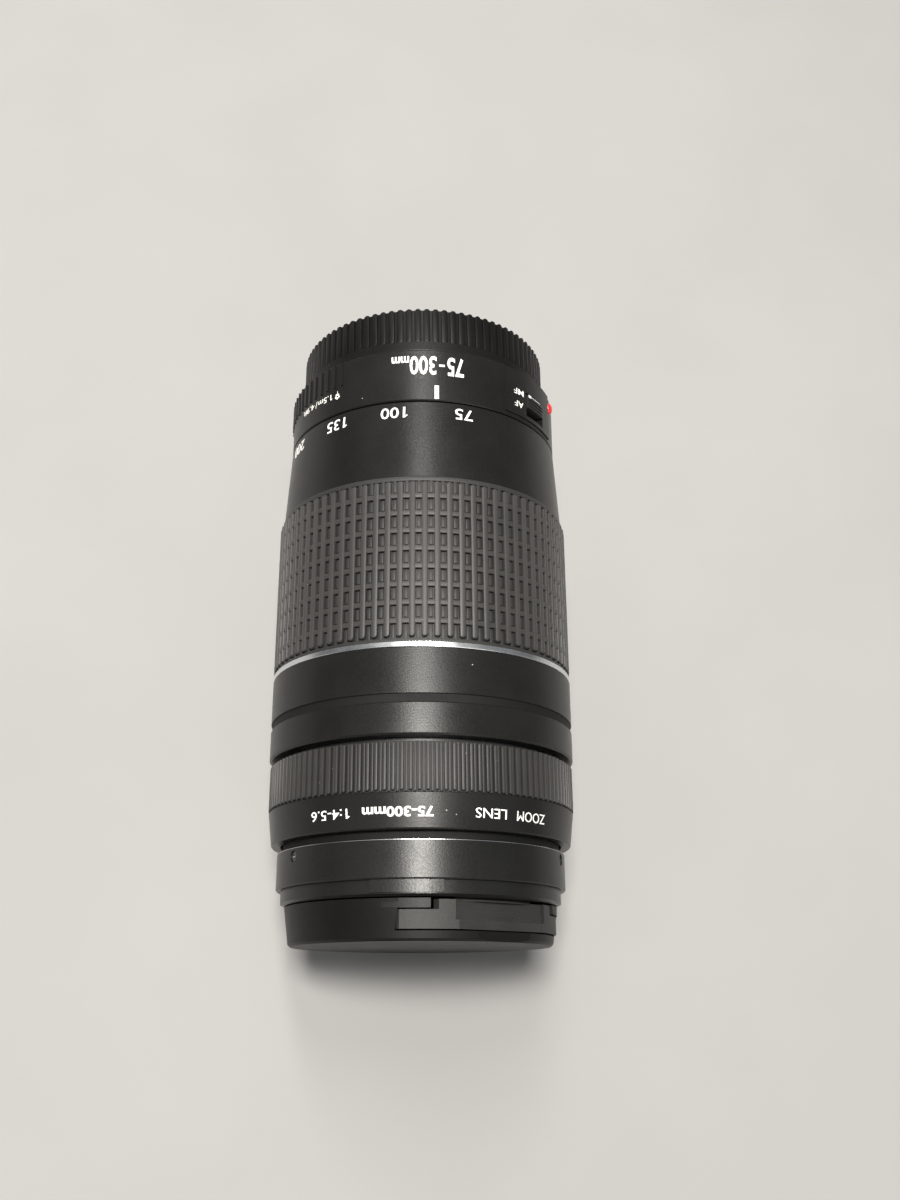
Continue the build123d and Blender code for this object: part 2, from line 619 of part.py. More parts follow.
# ---- front cap ----
CAP_FLOOR = CAP_FRONT + 1.7
CAP_REAR = RIM - 0.3
LATCH_FRONT, LATCH_END = RIM - 6.3, RIM - 0.5
LATCH_HALF = 21.5
LATCH_INNER = 20.4
SCOOP_HALF = 12.0                       # the finger scoop between the latch's two tabs
BRIDGE_FRONT = RIM - 2.2                # the cap's rim runs on over the ends of the latch from here
BRIDGE_START, BRIDGE_END = 33.0, 52.0   # degrees each side of the latch's middle
R_BRIDGE = 28.4                         # underside of the bridges
NOTCH_HALF = 15.1                       # the latch is cut down beyond here, clear of the bridges' inner corners
SPRING_SEAT = 15.6


def front_cap():
    body = turned([
        (0, CAP_FRONT), (R_CAP_FACE - 0.5, CAP_FRONT), (R_CAP_FACE, CAP_FRONT + 0.5), (R_CAP_SKIRT, CAP_REAR),
        (28.2, CAP_REAR), (28.2, CAP_FLOOR), (0, CAP_FLOOR),
    ])
    for angle in LATCH_ANGLES:
        body -= at_angle(block(2 * (LATCH_HALF + GAP), LATCH_FRONT - GAP, RIM, 18.6, 33.0), angle)
        body -= at_angle(block(2 * SCOOP_HALF, CAP_FRONT - 1, LATCH_FRONT, 29.0, 33.0), angle)
        for start, end in ((-BRIDGE_END, -BRIDGE_START), (BRIDGE_START, BRIDGE_END)):
            bridge = sector(R_BRIDGE, R_CAP_SKIRT - 0.1, BRIDGE_FRONT, CAP_REAR, start, end)
            body += at_angle(bridge, angle)
        body += at_angle(block(9.0, CAP_FLOOR - 0.1, RIM - 1.6, SPRING_SEAT - 1.4, SPRING_SEAT), angle)
        for side in (-1, 1):
            rail = block(1.4, CAP_FLOOR - 0.1, RIM - 1.6, 12.0, 18.0)
            body += at_angle(Pos(side * 16.0, 0, 0) * rail, angle)
    return body


def latch():
    disc = tube(0.5, R_CAP_SKIRT - 0.35, LATCH_FRONT, LATCH_END)
    body = disc & block(2 * LATCH_HALF, LATCH_FRONT, LATCH_END, LATCH_INNER, 31.0)
    body -= block(2 * SCOOP_HALF, RIM - 4.5, RIM, 26.9, 33.0)
    body -= block(2 * SCOOP_HALF, LATCH_FRONT - 1, RIM, 28.2, 33.0)
    # the ends are cut lower and straight-sided, so that they slide in under the cap's bridges
    ends = tube(R_BRIDGE - GAP, 33.0, BRIDGE_FRONT - GAP, RIM)
    body -= ends - block(2 * NOTCH_HALF, BRIDGE_FRONT - 1, RIM + 1, 0, 34.0)
    body -= block(2 * 17.0, RIM - 4.6, RIM, LATCH_INNER - 1, 24.6)
    hook = sector(25.4, 28.4, LATCH_END - 0.2, RIM + 2.0, -22, 22)
    hook -= sector(27.6, 29.0, LATCH_END + 0.1, RIM + 0.9, -23, 23)
    return body + hook


def latch_spring():
    wire = 0.3
    coils = Edge.make_helix(0.9, LATCH_INNER - SPRING_SEAT - 2 * wire, 1.4)
    section = Plane(origin=coils @ 0, z_dir=coils % 0) * Circle(wire)
    coil = sweep(section, path=coils, is_frenet=True)
    return Pos(0, (CAP_FLOOR + RIM - 1.6) / 2 - 0.4, SPRING_SEAT + wire) * coil


# ---- rear cap ----
def rear_cap():
    body = tube(28.6, R_REAR_CAP, REAR_CAP_FRONT, REAR_CAP_RIBS)
    body += ribbed_sleeve(28.6, R_REAR_CAP - 0.6, R_REAR_CAP, REAR_CAP_RIBS, REAR_CAP_END, REAR_CAP_RIB_COUNT, 0.6, 0.0)
    body += turned([(0, REAR_CAP_END - 1.8), (28.7, REAR_CAP_END - 1.8), (28.7, REAR_CAP_END), (0, REAR_CAP_END)])
    for angle in (60, 180, 300):
        body += sector(25.8, 28.8, 1.0, 2.1, angle - 24, angle + 24)
    return body


def write(name, shape):
    export_step(shape, f"parts/{name}.step")


os.makedirs("parts", exist_ok=True)

for piece in (
    rear_housing, index_dot, index_line, guide_barrel, bayonet_mount, mount_screws, rear_baffle, contact_block,
    contact_pins, main_board, board_chips, switch_knob, zoom_ring, front_collar, trim_ring, zoom_grip,
    cam_barrel, drive_keys, carrier_tube, carrier_followers, carrier_nose, idler_axle, focus_motor,
    idler_gear, motor_pinion, focus_ring, focus_grip, focus_gear_ring, front_barrel, barrel_screws,
    front_cell, helicoid_lugs, front_doublet, front_singlet, front_retainers, variator_cell,
    variator_doublet, variator_singlet, relay_cell, iris_ring, iris_motor, relay_singlets, relay_doublet,
    rear_cell, rear_doublet, rear_singlet, front_cap, rear_cap,
):
    write(piece.__name__, piece())

for index in range(BLADES):
    write(f"iris_blade_{index + 1}", iris_blade(index))

for side, angle in zip(("upper", "lower"), LATCH_ANGLES):
    write(f"{side}_latch", at_angle(latch(), angle))
    write(f"{side}_latch_spring", at_angle(latch_spring(), angle))
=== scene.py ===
import math
import bmesh
import bpy
from mathutils import Matrix, Vector


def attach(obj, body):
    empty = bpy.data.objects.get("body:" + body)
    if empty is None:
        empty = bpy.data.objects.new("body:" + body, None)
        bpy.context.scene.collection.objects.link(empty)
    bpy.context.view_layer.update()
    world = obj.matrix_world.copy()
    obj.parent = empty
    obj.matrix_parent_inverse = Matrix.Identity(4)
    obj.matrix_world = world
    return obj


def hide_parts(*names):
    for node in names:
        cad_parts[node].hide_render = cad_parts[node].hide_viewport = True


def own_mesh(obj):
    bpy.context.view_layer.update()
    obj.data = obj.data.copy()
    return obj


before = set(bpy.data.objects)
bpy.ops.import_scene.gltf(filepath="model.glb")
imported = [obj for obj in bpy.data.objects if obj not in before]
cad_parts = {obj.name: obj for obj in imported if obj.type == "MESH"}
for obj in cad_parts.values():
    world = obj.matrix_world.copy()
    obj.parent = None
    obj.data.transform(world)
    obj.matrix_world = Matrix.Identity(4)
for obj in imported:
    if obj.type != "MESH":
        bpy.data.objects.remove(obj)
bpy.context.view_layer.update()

# Telephoto zoom lens with both caps on, lying on its side. Shapes are made in millimetres:
# the optical axis is Y with the front towards -Y, the origin is the mount flange's centre,
# and angles go about +Y from the index line (+Z) towards +X.

MM = 0.001
RIM = -126.0                    # the barrel's front rim
FLOOR = -35.5                   # the widest rings stand on it

# ---- places along the axis, and radii ----
NAME_BAND = (RIM + 13.0, 34.3), (RIM + 20.4, 35.1)      # (place, radius) at both ends
ZOOM_BAND = (RIM + 91.3, 34.7), (RIM + 111.1, 33.4)
HOUSING = (RIM + 111.4, 33.4), (RIM + 124.8, 33.4)
PANEL = (RIM + 111.4, 33.7), (RIM + 124.8, 33.7)
FOCUS_FRONT, FOCUS_END = RIM + 20.4, RIM + 31.1
R_FOCUS_SEAT, R_FOCUS_FLOOR, R_FOCUS_STRIP, R_FOCUS_RIB = 34.0, 34.35, 34.85, 35.2
FOCUS_RIBS = 120
FOCUS_RIB_WIDTH, FOCUS_RIB_EDGE = 0.86, 0.24
FOCUS_STRIP_WIDTH, FOCUS_STRIP_EDGE = 0.68, 0.16        # the low strip between two ribs
GRIP_FRONT, GRIP_END = RIM + 52.4, RIM + 91.3
R_GRIP_SEAT, R_GRIP_MOAT, R_GRIP_FLOOR, R_GRIP_BAR, R_GRIP_RIB = 34.0, 34.45, 34.92, 35.3, 35.49
GRIP_RIBS, GRIP_BARS = 80, 8
GRIP_RIB_WIDTH, GRIP_RIB_EDGE = 1.55, 0.34
GRIP_FRONT_BORDER, GRIP_END_BORDER = 0.9, 1.1           # plain borders at the grip's two ends
FIRST_BAR, BAR_PITCH, BAR_HALF, BAR_EDGE = RIM + 57.17, 4.192, 0.62, 0.2
PAD_WIDTH, PAD_EDGE = 0.78, 0.09
MOAT = 0.22                     # the narrow gap round each rib's foot
ROOT = 0.2                      # how deep ribs, bars and pads are sunk in the sleeve under them
CAP_FRONT, CAP_LIP, CAP_END = 0.3, 2.6, 11.8            # the rear cap
R_CAP, R_CAP_BODY, R_CAP_BORE = 31.0, 30.5, 28.6
CAP_RIBS, CAP_RIB_WIDTH, CAP_RIB_EDGE = 90, 1.68, 0.22
R_DISH, R_DISC, DISH_DEPTH, DISC_DEPTH = 26.0, 13.0, 0.4, 0.7  # rings pressed in the cap's end
CAP_WALL = 1.8
R_LUG, LUG_FRONT, LUG_END, LUG_TURN = 25.8, 1.0, 2.1, 48.0      # the cap's bayonet lugs
LATCH_ANGLES = {"upper": 31.4, "lower": 211.4}
PRINT_HEIGHT = 0.045            # how far print stands out of the plastic
FLAG_SIZE, FLAG_LEAN = (0.2, 0.085, 0.2), 38            # the flag of a 1, for letters one unit high
FLAG_BACK, FLAG_UP = 0.145, 0.595
LETTER_STRIP = 0.8              # letters are cut into strips this wide, to bend round the barrel


# ---- shapes ----
def spun(outline, steps=240, edge=0.0, turn=360.0, start=0.0):
    """Spin a closed outline of (radius, place) corners about the optical axis."""
    shape = bmesh.new()
    corners = [shape.verts.new((0, place, radius)) for radius, place in outline]
    sides = [shape.edges.new(pair) for pair in zip(corners, corners[1:] + corners[:1])]
    if edge:
        bmesh.ops.bevel(shape, geom=corners + sides, offset=edge, segments=2, profile=0.5,
                        affect="VERTICES", material=-1)
    whole = turn == 360.0
    if not whole:
        bmesh.ops.contextual_create(shape, geom=shape.edges[:])
        bmesh.ops.rotate(shape, verts=shape.verts, matrix=Matrix.Rotation(math.radians(start), 3, "Y"))
    bmesh.ops.spin(shape, geom=shape.verts[:] + shape.edges[:] + shape.faces[:], cent=(0, 0, 0),
                   axis=(0, 1, 0), angle=math.radians(turn), steps=steps, use_merge=whole)
    bmesh.ops.remove_doubles(shape, verts=shape.verts, dist=1e-5)
    bmesh.ops.recalc_face_normals(shape, faces=shape.faces)
    return shape


def rounded_bar(width, front, end, r_foot, r_top, edge):
    """A bar along the axis on the index line, with round ends and a rounded top."""
    bar = bmesh.new()
    bmesh.ops.create_circle(bar, cap_ends=True, segments=10, radius=width / 2,
                            matrix=Matrix.Rotation(math.radians(18), 4, "Z"))
    half = (end - front - width) / 2
    for corner in bar.verts:
        corner.co.y += math.copysign(half, corner.co.y)
    rise = bmesh.ops.extrude_face_region(bar, geom=bar.faces[:])
    top = [item for item in rise["geom"] if isinstance(item, bmesh.types.BMVert)]
    bmesh.ops.translate(bar, verts=top, vec=(0, 0, r_top - r_foot))
    rim = [side for side in bar.edges if all(corner in top for corner in side.verts)]
    bmesh.ops.bevel(bar, geom=rim, offset=edge, segments=2, profile=0.5, affect="EDGES", material=-1)
    bmesh.ops.translate(bar, verts=bar.verts, vec=(0, (front + end) / 2, r_foot))
    bmesh.ops.recalc_face_normals(bar, faces=bar.faces)
    return bar


def rounded_block(width, length, foot, top, edge, strips):
    """A flat block with rounded upper edges, centred, in strips across so that it can bend."""
    block = bmesh.new()
    bmesh.ops.create_grid(block, x_segments=strips, y_segments=1, size=0.5,
                          matrix=Matrix.Translation((0, 0, foot)) @ Matrix.Diagonal((width, length, 1, 1)))
    rise = bmesh.ops.extrude_face_region(block, geom=block.faces[:])
    crown = [item for item in rise["geom"] if isinstance(item, bmesh.types.BMVert)]
    bmesh.ops.translate(block, verts=crown, vec=(0, 0, top - foot))
    sides = [side for side in block.edges if len(side.link_faces) == 2 and side.calc_face_angle() > 1.0
             and max(corner.co.z for corner in side.verts) > (top + foot) / 2]
    bmesh.ops.bevel(block, geom=sides, offset=edge, segments=2, profile=0.5, affect="EDGES", material=-1)
    bmesh.ops.recalc_face_normals(block, faces=block.faces)
    return block


def all_round(shape, count):
    """Repeat a shape evenly round the optical axis."""
    bmesh.ops.spin(shape, geom=shape.verts[:] + shape.edges[:] + shape.faces[:], cent=(0, 0, 0),
                   axis=(0, 1, 0), angle=math.radians(360 - 360 / count), steps=count - 1, use_duplicate=True)
    return shape


def joined(*shapes):
    """One shape of several, in the first one's mesh."""
    whole = shapes[0]
    for part in shapes[1:]:
        carried = bpy.data.meshes.new("carried")
        part.to_mesh(carried)
        part.free()
        whole.from_mesh(carried)
        bpy.data.meshes.remove(carried)
    return whole


def piece(name, shape, body, slot, replaces=(), smooth=32.0):
    """Turn a shape in millimetres into a finished piece in metres that rides on a body."""
    bmesh.ops.scale(shape, vec=(MM, MM, MM), verts=shape.verts)
    mesh = bpy.data.meshes.new(name)
    shape.to_mesh(mesh)
    shape.free()
    mesh.materials.append(FINISHES[slot])
    mesh.shade_smooth()
    mesh.set_sharp_from_angle(angle=math.radians(smooth))
    made = bpy.data.objects.new(name, mesh)
    bpy.context.scene.collection.objects.link(made)
    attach(made, body)
    if replaces:
        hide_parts(*replaces)
    return made


def radius_at(band, place):
    """The radius of a tapered band at a place along the axis."""
    (y0, r0), (y1, r1) = band
    return r0 + (place - y0) / (y1 - y0) * (r1 - r0)


def wrapped(shape, band, angle, place):
    """Lay a flat shape on a band: its top points to the front, and it reads towards -X."""
    for corner in shape.verts:
        y = place - corner.co.y
        radius = radius_at(band, y)
        turn = math.radians(angle) - corner.co.x / radius
        out = radius + corner.co.z
        corner.co = (out * math.sin(turn), y, out * math.cos(turn))
    bmesh.ops.recalc_face_normals(shape, faces=shape.faces)
    return shape


def sliced(shape, step):
    """Cut a flat shape into narrow strips, so that it can bend round the barrel."""
    low = min(corner.co.x for corner in shape.verts)
    high = max(corner.co.x for corner in shape.verts)
    for i in range(1, int((high - low) / step) + 1):
        bmesh.ops.bisect_plane(shape, geom=shape.verts[:] + shape.edges[:] + shape.faces[:],
                               plane_co=(low + i * step, 0, 0), plane_no=(1, 0, 0))
    return shape


def letter_mesh(text, bold):
    """The built-in font's letters as a mesh."""
    curve = bpy.data.curves.new("letters", "FONT")
    curve.body = text
    curve.offset = bold
    curve.extrude = 0.1
    curve.resolution_u = 3
    letters = bpy.data.objects.new("letters", curve)
    bpy.context.scene.collection.objects.link(letters)
    seen = letters.evaluated_get(bpy.context.evaluated_depsgraph_get())
    mesh = bpy.data.meshes.new_from_object(seen)
    shape = bmesh.new()
    shape.from_mesh(mesh)
    bpy.data.objects.remove(letters)
    bpy.data.curves.remove(curve)
    bpy.data.meshes.remove(mesh)
    bmesh.ops.remove_doubles(shape, verts=shape.verts, dist=1e-5)
    return shape


def lettering(text, height, width, bold):
    """Flat generic lettering of a given size, centred, with a little thickness. Each 1 gets a flag."""
    shape = letter_mesh(text, bold)
    for place in [i for i, letter in enumerate(text) if letter == "1"]:
        before = letter_mesh(text[:place + 1], bold)
        edge = max(corner.co.x for corner in before.verts)
        flag = bmesh.new()
        lean = Matrix.Rotation(math.radians(FLAG_LEAN), 4, "Z") @ Matrix.Diagonal((*FLAG_SIZE, 1))
        bmesh.ops.create_cube(flag, size=1.0,
                              matrix=Matrix.Translation((edge - FLAG_BACK, FLAG_UP, 0.0)) @ lean)
        shape = joined(shape, flag)
        before.free()
    low = Vector([min(corner.co[axis] for corner in shape.verts) for axis in range(3)])
    high = Vector([max(corner.co[axis] for corner in shape.verts) for axis in range(3)])
    size, middle = high - low, (high + low) / 2
    bmesh.ops.translate(shape, verts=shape.verts, vec=-middle)
    bmesh.ops.scale(shape, verts=shape.verts,
                    vec=(width / size.x, height / size.y, 2 * PRINT_HEIGHT / size.z))
    return sliced(shape, LETTER_STRIP)


# ---- finishes ----
class Value:
    """A socket in a finish. Arithmetic on it adds Math nodes."""

    def __init__(self, finish, socket):
        self.finish, self.socket = finish, socket

    def math(self, operation, *others, clamp=False):
        return self.finish.node("Math", {"operation": operation, "use_clamp": clamp}, (self, *others))

    def __add__(self, other):
        return self.math("ADD", other)

    def __sub__(self, other):
        return self.math("SUBTRACT", other)

    def __rsub__(self, other):
        return self.finish.node("Math", {"operation": "SUBTRACT"}, (other, self))

    def __mul__(self, other):
        return self.math("MULTIPLY", other)

    def __truediv__(self, other):
        return self.math("DIVIDE", other)

    def __gt__(self, other):
        return self.math("GREATER_THAN", other)

    def __lt__(self, other):
        return self.math("LESS_THAN", other)

    __radd__, __rmul__ = __add__, __mul__

    def between(self, low, high):
        """0 below low, 1 above high, and a straight rise between them."""
        return ((self - low) / (high - low)).math("ADD", 0.0, clamp=True)


class Finish:
    """A material: its fixed values are set on the shader, and the rest are worked out in nodes."""

    def __init__(self, name, **fixed):
        self.name = name
        self.material = bpy.data.materials.new(name)
        self.material.use_nodes = True
        self.tree = self.material.node_tree
        self.shader = self.tree.nodes["Principled BSDF"]
        for socket, value in fixed.items():
            self.shader.inputs[socket.replace("_", " ").title().replace("Ior", "IOR")].default_value = value
        self.place = self.node("TexCoord", out="Object")

    def node(self, kind, settings=None, inputs=(), out=0):
        made = self.tree.nodes.new("ShaderNode" + kind)
        for name, value in (settings or {}).items():
            setattr(made, name, value)
        for key, value in inputs.items() if isinstance(inputs, dict) else enumerate(inputs):
            if isinstance(value, Value):
                self.tree.links.new(value.socket, made.inputs[key])
            else:
                made.inputs[key].default_value = value
        return Value(self, made.outputs[out])

    def noise(self, size, detail=2.0, rough=0.5, place=None):
        """Noise from 0 to 1 with patches of about the given size, in millimetres."""
        return self.node("TexNoise", {}, {"Vector": place or self.place, "Scale": 1 / (size * MM),
                                          "Detail": detail, "Roughness": rough})

    def mix(self, share, first, second):
        return self.node("Mix", {"data_type": "RGBA"}, {0: share, 6: first, 7: second}, out=2)

    def axes(self):
        """(across, along, up), in metres."""
        split = self.node("SeparateXYZ", {}, (self.place,)).socket.node
        return [Value(self, output) for output in split.outputs]

    def radius(self):
        across, _, up = self.axes()
        return (across * across + up * up).math("SQRT") / MM

    def turning_lines(self, size, detail=2.0):
        """Fine lines that run round the axis, as a lathe or a polishing cloth leaves."""
        across, along, up = self.axes()
        turn = across.math("ARCTAN2", up)
        lines = self.node("CombineXYZ", {}, (turn * 0.4 * size * MM, along, self.radius() * MM))
        return self.noise(size, detail, 0.6, lines)

    def dust(self, gap, size):
        """A few specks of dust: a share of the points that lie about gap apart, size across."""
        cells = self.node("TexVoronoi", {}, {"Vector": self.place, "Scale": 1 / (gap * MM)}, out="Distance")
        thin = self.noise(gap * 2.3, 1.0) > 0.56
        return (cells < size / gap / 2) * thin

    def paint(self, colour, roughness):
        for name, value in (("Base Color", colour), ("Roughness", roughness)):
            self.tree.links.new(value.socket, self.shader.inputs[name])
        return self

    def bump(self, height, depth):
        """Relief of the given depth, in millimetres."""
        relief = self.node("Bump", {}, {"Height": height, "Distance": depth * MM})
        self.tree.links.new(relief.socket, self.shader.inputs["Normal"])
        return self


DUST = (0.30, 0.29, 0.27, 1)
PLASTIC_WARMTH, RUBBER_WARMTH, FLOOR_WARMTH = 0.02, 0.05, 0.012
RECESS_SHADE_LEVEL, RIB_FOOT_SHADE_LEVEL = 0.003, 0.006          # how dark the painted shade is in recesses of the paint and at the feet of the ribs
TURNING = 0.16                                  # size of the turning lines in painted plastic


def grey(level, warm=0.0):
    """A grey, a little warm if asked."""
    return (level * (1 + warm), level, level * (1 - warm), 1)


def moulded(name, dark, light, roughness, grain, depth, lines=0.0, shine=0.24, shaded_recesses=()):
    """Black moulded plastic or paint, with a fine spark-eroded grain, faint handling marks and dust, and
    painted shade in the recesses given.
    """
    made = Finish(name, specular_ior_level=shine)
    fine = made.noise(grain, 3.0, 0.6)
    wide = made.noise(11.0, 3.0)
    smear = made.noise(3.5, 4.0, 0.65)
    dust = made.dust(5.0, 0.3)
    tone = (fine * 0.55 + wide * 0.45).between(0.25, 0.75)
    colour = made.mix(tone, grey(dark, PLASTIC_WARMTH), grey(light, PLASTIC_WARMTH))
    gloss = roughness + (wide - 0.5) * 0.10 + (smear - 0.5) * 0.08 + (fine - 0.5) * 0.16 + dust * 0.3
    for front, end, radius in shaded_recesses:
        # painted shade, with rougher paint: in the recess behind the front sleeve, and in the shallow groove of
        # the collar
        along = made.axes()[1]
        recess_shade = (along > front * MM) * (along < end * MM) * (made.radius() < radius)
        colour = made.mix(recess_shade * 0.8, colour, grey(RECESS_SHADE_LEVEL))
        gloss = gloss + recess_shade * 0.35
        dust = dust * (1 - recess_shade)
    made.paint(made.mix(dust, colour, DUST), gloss)
    relief = fine if not lines else fine + made.turning_lines(TURNING) * lines
    return made.bump(relief, depth)


def rubber(name, dark, light, foot, floor_radius, top_radius, grain, depth):
    """Matte rubber with dust: painted shade darkens it near the feet of the ribs, and the tops of the ribs are
    rubbed paler.
    """
    made = Finish(name, specular_ior_level=0.42, sheen_weight=0.05, sheen_roughness=0.5)
    fine = made.noise(grain, 3.0, 0.65)
    wide = made.noise(8.0, 3.0)
    worn = made.radius().between(floor_radius, top_radius)
    dust = made.dust(3.0, 0.22)
    tone = (worn * 0.5 + wide * 0.3 + fine * 0.35).between(0.15, 0.95)
    colour = made.mix(tone, grey(dark, RUBBER_WARMTH), grey(light, RUBBER_WARMTH))
    # painted shade: darker near the feet of the ribs
    colour = made.mix(made.radius().between(foot - 0.02, foot + 0.22), grey(RIB_FOOT_SHADE_LEVEL), colour)
    made.paint(made.mix(dust, colour, DUST), 0.56 - worn * 0.06 + (wide - 0.5) * 0.14 + (fine - 0.5) * 0.12)
    return made.bump(fine, depth)


def turned_metal(name, tint, roughness, line_size, depth, dark=0.82, stains=0.7, **fixed):
    """Metal with fine turning lines round the axis and a few stains."""
    made = Finish(name, **fixed)
    lines = made.turning_lines(line_size, 3.0)
    stain = made.noise(4.0, 4.0, 0.6)
    shade = (lines * 0.5 + stain * 0.5).between(0.3, 0.7)
    made.paint(made.mix(shade, (*[c * dark for c in tint], 1), (*tint, 1)),
               roughness + (lines - 0.5) * roughness * 0.8 + (stain - 0.5) * roughness * stains)
    return made.bump(lines, depth)


def grained(name, tint, other, roughness, grain, depth, **fixed):
    """An even coloured finish with a fine grain and slow changes of tone."""
    made = Finish(name, **fixed)
    fine = made.noise(grain, 3.0, 0.6)
    wide = made.noise(5.0, 3.0)
    made.paint(made.mix((fine * 0.4 + wide * 0.6).between(0.3, 0.7), (*tint, 1), (*other, 1)),
               roughness + (wide - 0.5) * 0.12 + (fine - 0.5) * 0.1)
    return made.bump(fine, depth)


def board_finish(name):
    """Green solder mask over fine copper tracks, with pale printed pads."""
    made = Finish(name, coat_weight=0.6, coat_roughness=0.15)
    tracks = made.node("TexBrick", {"offset": 0.37, "squash": 0.6, "squash_frequency": 3},
                       {"Vector": made.place, "Scale": 420.0, "Mortar Size": 0.035, "Mortar Smooth": 0.2},
                       out="Fac")
    wide = made.noise(3.0, 3.0)
    mask = made.mix(wide, (0.006, 0.055, 0.022, 1), (0.010, 0.085, 0.035, 1))
    made.paint(made.mix(tracks, (0.02, 0.15, 0.06, 1), mask), 0.35 + wide * 0.2)
    return made.bump(tracks, 0.02)


def glass_finish(name):
    """Optical glass with an anti-reflection coating and the faintest wipe marks."""
    made = Finish(name, transmission_weight=1.0, ior=1.55, specular_tint=(0.55, 0.72, 0.62, 1),
                  coat_weight=0.25, coat_tint=(0.80, 0.72, 0.95, 1), coat_roughness=0.02)
    wipe = made.noise(6.0, 4.0, 0.6)
    return made.paint(made.mix(wipe, (0.90, 0.96, 0.92, 1), (0.94, 0.97, 0.96, 1)), 0.004 + wipe * 0.016)


# front, rear and outer radius of the recesses where the black paint is rougher and painted dark as shade
BARREL_SHADED_RECESSES = (RIM + 11.4, RIM + 20.0, 32.2), (RIM + 39.15, RIM + 41.05, 35.35)

FINISHES = {made.name: made.material for made in (
    moulded("barrel_black", 0.006, 0.012, 0.33, 0.42, 0.022, lines=0.3, shaded_recesses=BARREL_SHADED_RECESSES),
    rubber("grip_rubber", 0.012, 0.036, R_GRIP_MOAT, 34.9, 35.45, 0.22, 0.03),
    rubber("focus_rubber", 0.008, 0.026, R_FOCUS_FLOOR, 34.6, 35.15, 0.2, 0.02),
    moulded("cap_black", 0.003, 0.007, 0.46, 0.36, 0.018, shine=0.17),
    moulded("latch_black", 0.014, 0.036, 0.52, 0.30, 0.06),
    moulded("knob_black", 0.012, 0.022, 0.38, 0.10, 0.010),
    turned_metal("trim_silver", (0.78, 0.80, 0.82), 0.27, 0.10, 0.003, metallic=1.0),
    grained("index_red", (0.62, 0.012, 0.014), (0.74, 0.03, 0.03), 0.22, 0.25, 0.004, coat_weight=0.5),
    grained("marking_white", (0.70, 0.70, 0.67), (0.86, 0.86, 0.83), 0.55, 0.10, 0.010),
    turned_metal("mount_metal", (0.60, 0.60, 0.59), 0.34, 0.14, 0.0012, dark=0.9, stains=0.25,
                 metallic=1.0),
    turned_metal("inner_alloy", (0.030, 0.030, 0.032), 0.42, 0.15, 0.006, metallic=0.4),
    moulded("inner_black", 0.007, 0.013, 0.72, 0.12, 0.02),
    grained("screw_steel", (0.10, 0.10, 0.105), (0.20, 0.20, 0.205), 0.32, 0.15, 0.006, metallic=0.9),
    turned_metal("contact_gold", (0.85, 0.62, 0.26), 0.20, 0.10, 0.003, metallic=1.0),
    board_finish("board_green"),
    moulded("chip_black", 0.012, 0.020, 0.55, 0.10, 0.010),
    grained("follower_nylon", (0.62, 0.61, 0.56), (0.72, 0.71, 0.67), 0.45, 0.30, 0.006,
            subsurface_weight=0.15),
    turned_metal("motor_can", (0.52, 0.52, 0.53), 0.28, 0.10, 0.004, metallic=1.0),
    turned_metal("gear_brass", (0.72, 0.53, 0.25), 0.30, 0.10, 0.004, metallic=1.0),
    grained("blade_black", (0.012, 0.012, 0.013), (0.024, 0.024, 0.026), 0.38, 0.40, 0.003, metallic=0.5),
    grained("spring_steel", (0.48, 0.48, 0.47), (0.62, 0.62, 0.61), 0.24, 0.20, 0.002, metallic=1.0),
    glass_finish("coated_glass"),
)}

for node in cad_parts.values():
    node.data.materials[0] = FINISHES[node.data.materials[0].name.split(".")[0]]


# ---- rubber zoom grip: straight ribs over low crossbars, with a raised pad in each cell ----
grip_start, grip_stop = GRIP_FRONT + GRIP_FRONT_BORDER, GRIP_END - GRIP_END_BORDER
grip = [spun([(R_GRIP_SEAT, GRIP_FRONT), (R_GRIP_MOAT, GRIP_FRONT), (R_GRIP_MOAT, GRIP_END),
              (R_GRIP_SEAT, GRIP_END)])]
for front, end in ((GRIP_FRONT, grip_start), (grip_stop, GRIP_END)):
    grip.append(spun([(R_GRIP_SEAT + ROOT, front), (R_GRIP_FLOOR, front), (R_GRIP_FLOOR, end),
                      (R_GRIP_SEAT + ROOT, end)], edge=0.1))
bars = [FIRST_BAR + i * BAR_PITCH for i in range(GRIP_BARS)]
for middle in bars:
    grip.append(spun([(R_GRIP_MOAT - ROOT, middle - BAR_HALF), (R_GRIP_BAR, middle - BAR_HALF),
                      (R_GRIP_BAR, middle + BAR_HALF), (R_GRIP_MOAT - ROOT, middle + BAR_HALF)], edge=BAR_EDGE))
grip.append(all_round(rounded_bar(GRIP_RIB_WIDTH, grip_start + MOAT, grip_stop - MOAT, R_GRIP_MOAT - ROOT,
                                  R_GRIP_RIB, GRIP_RIB_EDGE), GRIP_RIBS))
# the pads at the two ends run on under the borders
pad_starts = [grip_start - ROOT] + [middle + BAR_HALF + MOAT for middle in bars]
pad_ends = [middle - BAR_HALF - MOAT for middle in bars] + [grip_stop + ROOT]
for front, end in zip(pad_starts, pad_ends):
    pad = rounded_block(PAD_WIDTH, end - front, 0.0, R_GRIP_FLOOR - R_GRIP_MOAT + ROOT, PAD_EDGE, 1)
    bmesh.ops.translate(pad, verts=pad.verts, vec=(0, (front + end) / 2, R_GRIP_MOAT - ROOT))
    bmesh.ops.rotate(pad, verts=pad.verts, matrix=Matrix.Rotation(math.pi / GRIP_RIBS, 3, "Y"))
    grip.append(all_round(pad, GRIP_RIBS))
piece("zoom_grip_rubber", joined(*grip), "zoom_ring", "grip_rubber", ["zoom_grip"])

